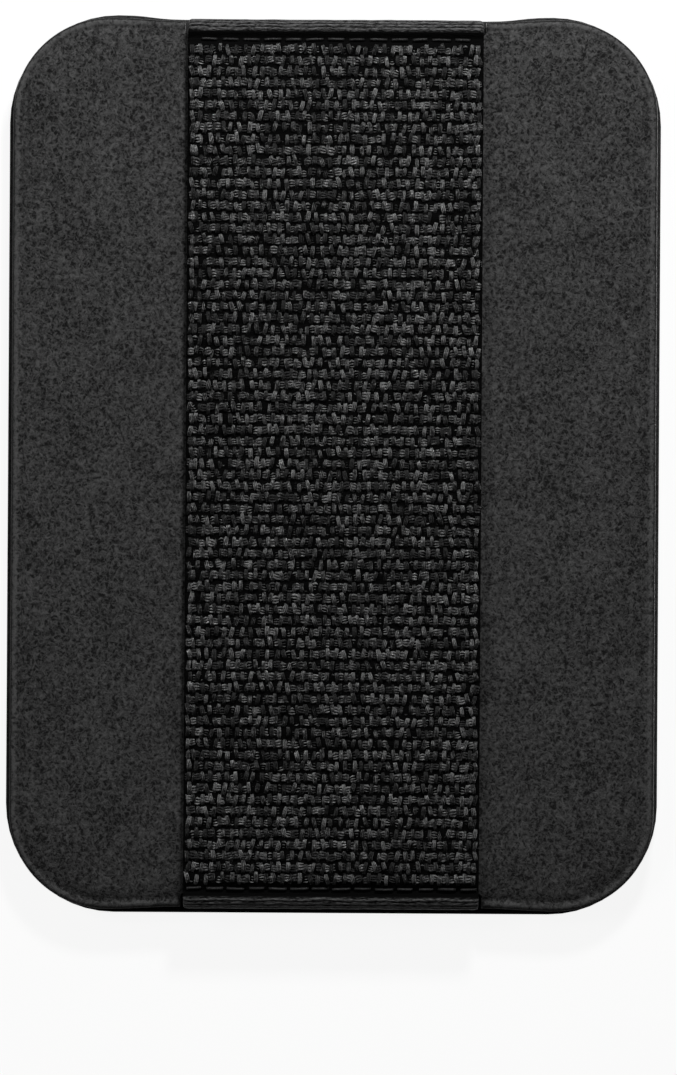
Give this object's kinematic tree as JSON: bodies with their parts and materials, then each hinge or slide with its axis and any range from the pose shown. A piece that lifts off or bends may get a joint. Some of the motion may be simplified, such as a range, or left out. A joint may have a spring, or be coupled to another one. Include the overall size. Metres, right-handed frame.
{
  "type": "phone finger strap",
  "caption": "Flat padded stick-on panel with a wide woven elastic band along it, for holding a phone by slipping the fingers under the band.",
  "frame": {"origin": "centre of the adhesive face that sticks to the phone, which is also the bottom centre of the bounding box", "axes": "+Z out of the adhesive face towards the band side, +Y along the band towards the pad's upper end, +X across the band"},
  "size_m": [0.062, 0.0854, 0.0051],
  "materials": {
    "band_elastic": "ribbed woven elastic, black, with a slight yarn sheen",
    "panel_felt": "fine felt-like microfibre, dark grey, matte",
    "base_sheet": "thin fused backing sheet, dark grey, matte",
    "core_board": "dense fibreboard, hidden",
    "adhesive": "dark acrylic adhesive sheet, slightly tacky satin"
  },
  "bodies": {
    "root": {"adhesive_sheet": "adhesive", "base_panel": "base_sheet", "core_board": "core_board", "front_panel": "panel_felt", "finger_band": "band_elastic"}
  },
  "joints": []
}
